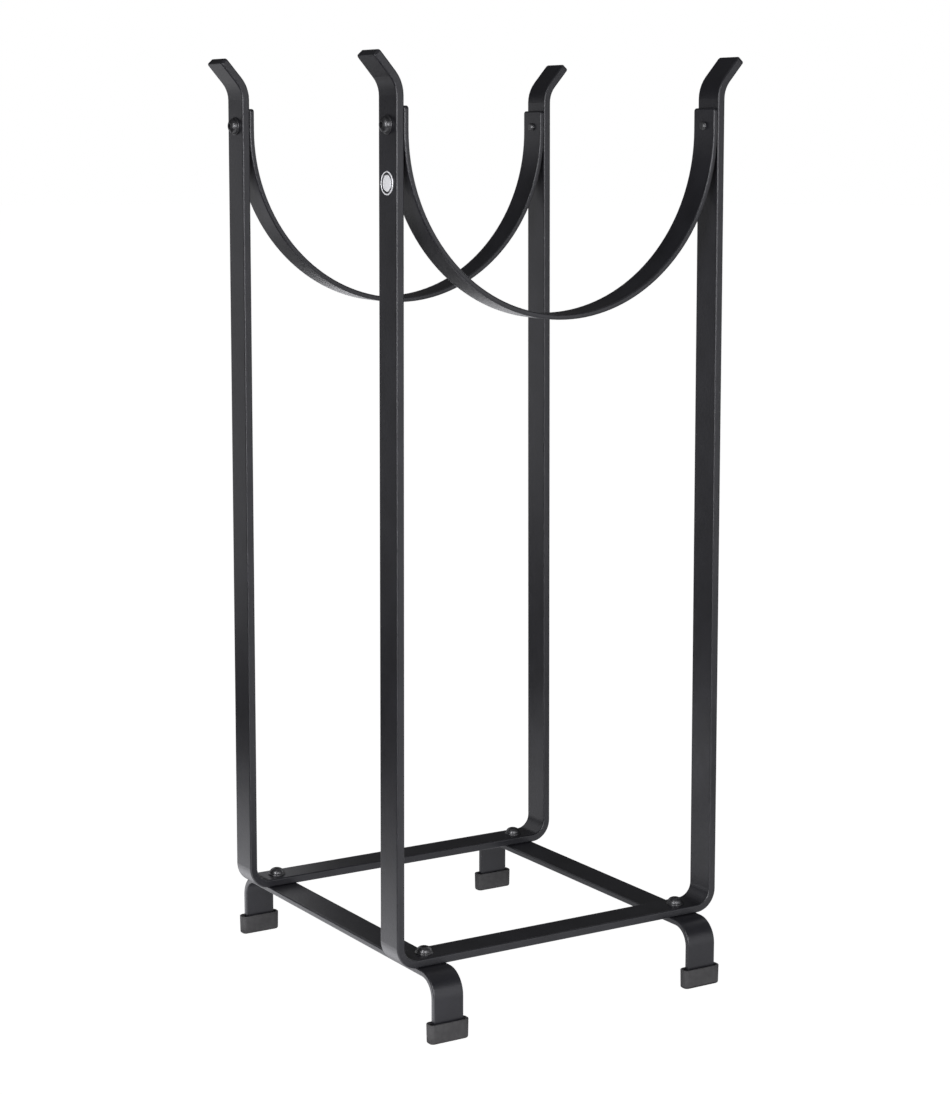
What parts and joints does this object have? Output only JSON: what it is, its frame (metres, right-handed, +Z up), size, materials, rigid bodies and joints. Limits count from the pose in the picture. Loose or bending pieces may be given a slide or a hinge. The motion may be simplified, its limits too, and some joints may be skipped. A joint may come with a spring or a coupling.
{
  "type": "firewood log rack",
  "caption": "Tall open rack of bent black flat bar for firewood: two flared U frames on rubber-capped foot bars, with a half-round cradle bolted between each frame's uprights.",
  "frame": {"origin": "on the floor, at the middle of the rack's footprint", "axes": "+X to the rack's right, +Y to its rear, +Z up; the badge is on the front left upright, at -X and -Y"},
  "size_m": [0.4026, 0.3956, 0.8994],
  "materials": {
    "powder_coat": "satin black powder coat with a fine texture",
    "bolt_steel": "semi-gloss black oxide steel",
    "cap_rubber": "matte charcoal rubber",
    "badge_plate": "satin silver with a dark ring"
  },
  "bodies": {
    "root": {"front_frame": "powder_coat", "rear_frame": "powder_coat", "front_cradle": "powder_coat", "rear_cradle": "powder_coat", "left_foot_bar": "powder_coat", "right_foot_bar": "powder_coat", "front_left_foot_cap": "cap_rubber", "front_left_cradle_bolt": "bolt_steel", "front_left_base_bolt": "bolt_steel", "front_right_foot_cap": "cap_rubber", "front_right_cradle_bolt": "bolt_steel", "front_right_base_bolt": "bolt_steel", "rear_left_foot_cap": "cap_rubber", "rear_left_cradle_bolt": "bolt_steel", "rear_left_base_bolt": "bolt_steel", "rear_right_foot_cap": "cap_rubber", "rear_right_cradle_bolt": "bolt_steel", "rear_right_base_bolt": "bolt_steel", "badge": "badge_plate"}
  },
  "joints": []
}
